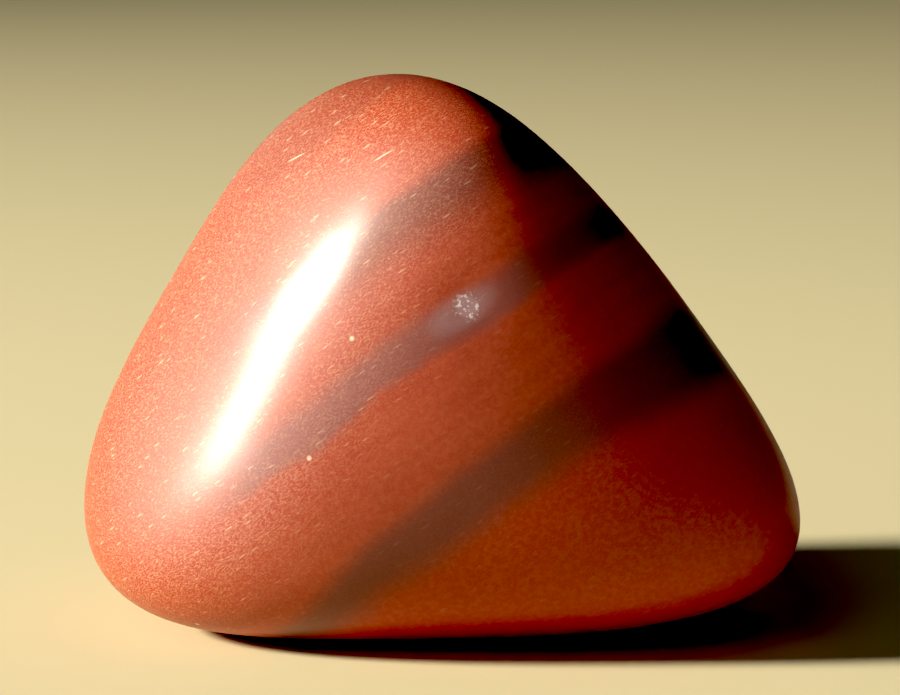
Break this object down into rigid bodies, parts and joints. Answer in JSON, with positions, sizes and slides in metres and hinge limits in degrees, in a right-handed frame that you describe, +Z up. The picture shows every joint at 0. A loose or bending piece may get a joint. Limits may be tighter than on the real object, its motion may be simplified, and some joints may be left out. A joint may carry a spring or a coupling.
{
  "type": "tumbled tiger jasper stone",
  "caption": "Rounded three-cornered tumbled stone of banded red jasper that rests on a small worn flat with its blunt point up.",
  "frame": {"origin": "on the resting surface, under the middle of the stone's box", "axes": "+X to the stone's right seen from its broad front, +Y towards its back, +Z up"},
  "size_m": [0.0284, 0.017, 0.0216],
  "materials": {
    "jasper": "tumble-polished brick-red jasper with grey-brown slanting bands"
  },
  "bodies": {
    "root": {"stone": "jasper"}
  },
  "joints": []
}
